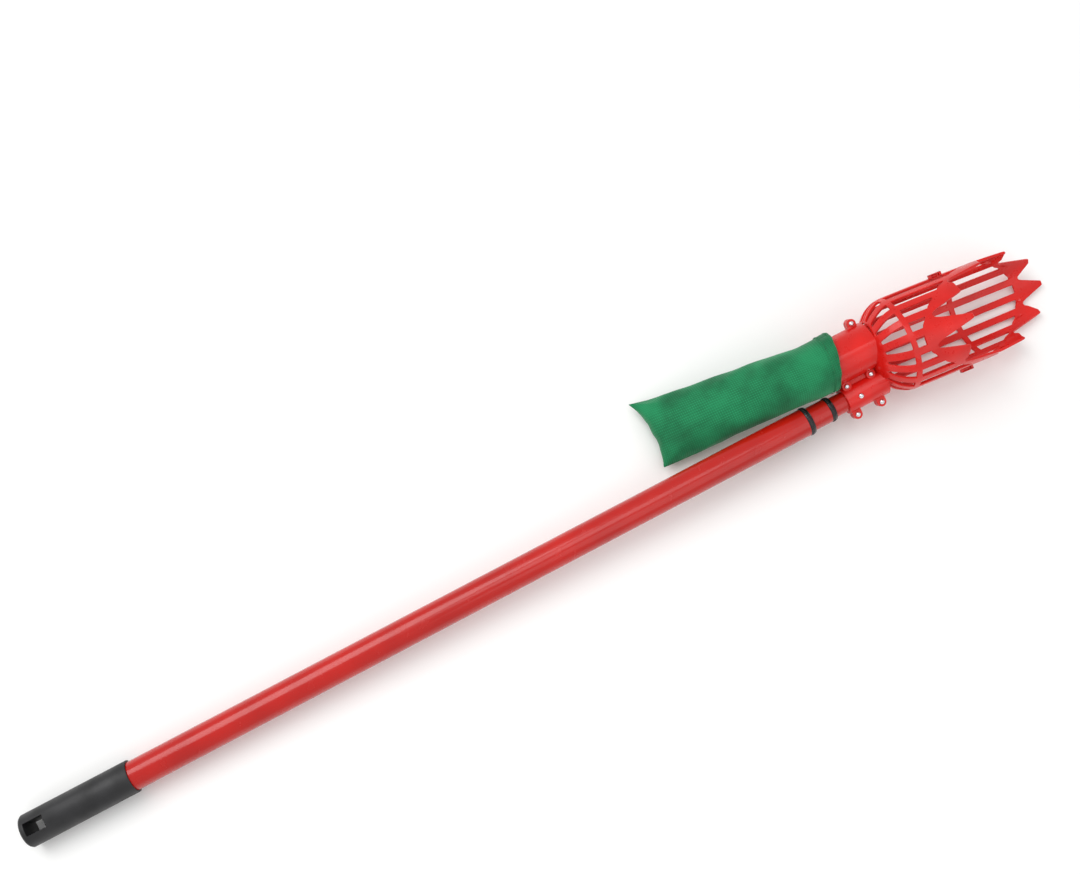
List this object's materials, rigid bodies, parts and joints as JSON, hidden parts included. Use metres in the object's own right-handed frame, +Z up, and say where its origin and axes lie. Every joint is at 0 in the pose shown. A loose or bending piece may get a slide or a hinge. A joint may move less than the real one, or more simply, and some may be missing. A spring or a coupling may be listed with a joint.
{
  "type": "fruit picker",
  "caption": "Slatted scoop-shaped picking basket with a toothed slanted mouth and a cloth bag on its neck, on a telescopic twist-lock pole with a slotted grip.",
  "frame": {"origin": "on the pole's axis, halfway along the bare outer tube, at the place where a wall clip holds it", "axes": "+X along the pole towards the basket, +Z up with the picker lying down, +Y towards the outlet neck's side"},
  "size_m": [1.2053, 0.1327, 0.1052],
  "materials": {
    "painted_tube": "glossy red powder coat",
    "grip_plastic": "satin black moulding",
    "collar_plastic": "semi-gloss black moulding",
    "lock_plastic": "natural nylon",
    "basket_plastic": "glossy red moulding",
    "screw_steel": "bright zinc plate",
    "bag_cloth": "green woven polyester",
    "elastic": "woven elastic"
  },
  "bodies": {
    "pole": {"grip": "grip_plastic", "tube_plug": "grip_plastic", "outer_tube": "painted_tube", "outer_collar": "collar_plastic"},
    "lower_lock": {"lower_lock_sleeve": "lock_plastic"},
    "middle": {"middle_tube": "painted_tube", "middle_collar": "collar_plastic", "lower_lock_screw": "lock_plastic", "lower_lock_pin": "screw_steel"},
    "upper_lock": {"upper_lock_sleeve": "lock_plastic"},
    "head": {"inner_tube": "painted_tube", "upper_lock_screw": "lock_plastic", "upper_lock_pin": "screw_steel", "basket_front": "basket_plastic", "basket_back": "basket_plastic", "seam_screws": "screw_steel", "seam_nuts": "screw_steel", "pole_screw": "screw_steel", "bag": "bag_cloth", "bag_elastic": "elastic"}
  },
  "joints": [
    {"name": "lower_slide", "type": "slide", "parent": "pole", "child": "lower_lock", "axis": [1, 0, 0], "range_m": [0, 0.61]},
    {"name": "lower_twist", "type": "hinge", "parent": "lower_lock", "child": "middle", "pos_m": [-0.37, 0, 0], "axis": [1, 0, 0], "range_deg": [0, 180]},
    {"name": "upper_slide", "type": "slide", "parent": "middle", "child": "upper_lock", "axis": [1, 0, 0], "range_m": [0, 0.55]},
    {"name": "upper_twist", "type": "hinge", "parent": "upper_lock", "child": "head", "pos_m": [-0.28, 0, 0], "axis": [1, 0, 0], "range_deg": [0, 180]}
  ]
}
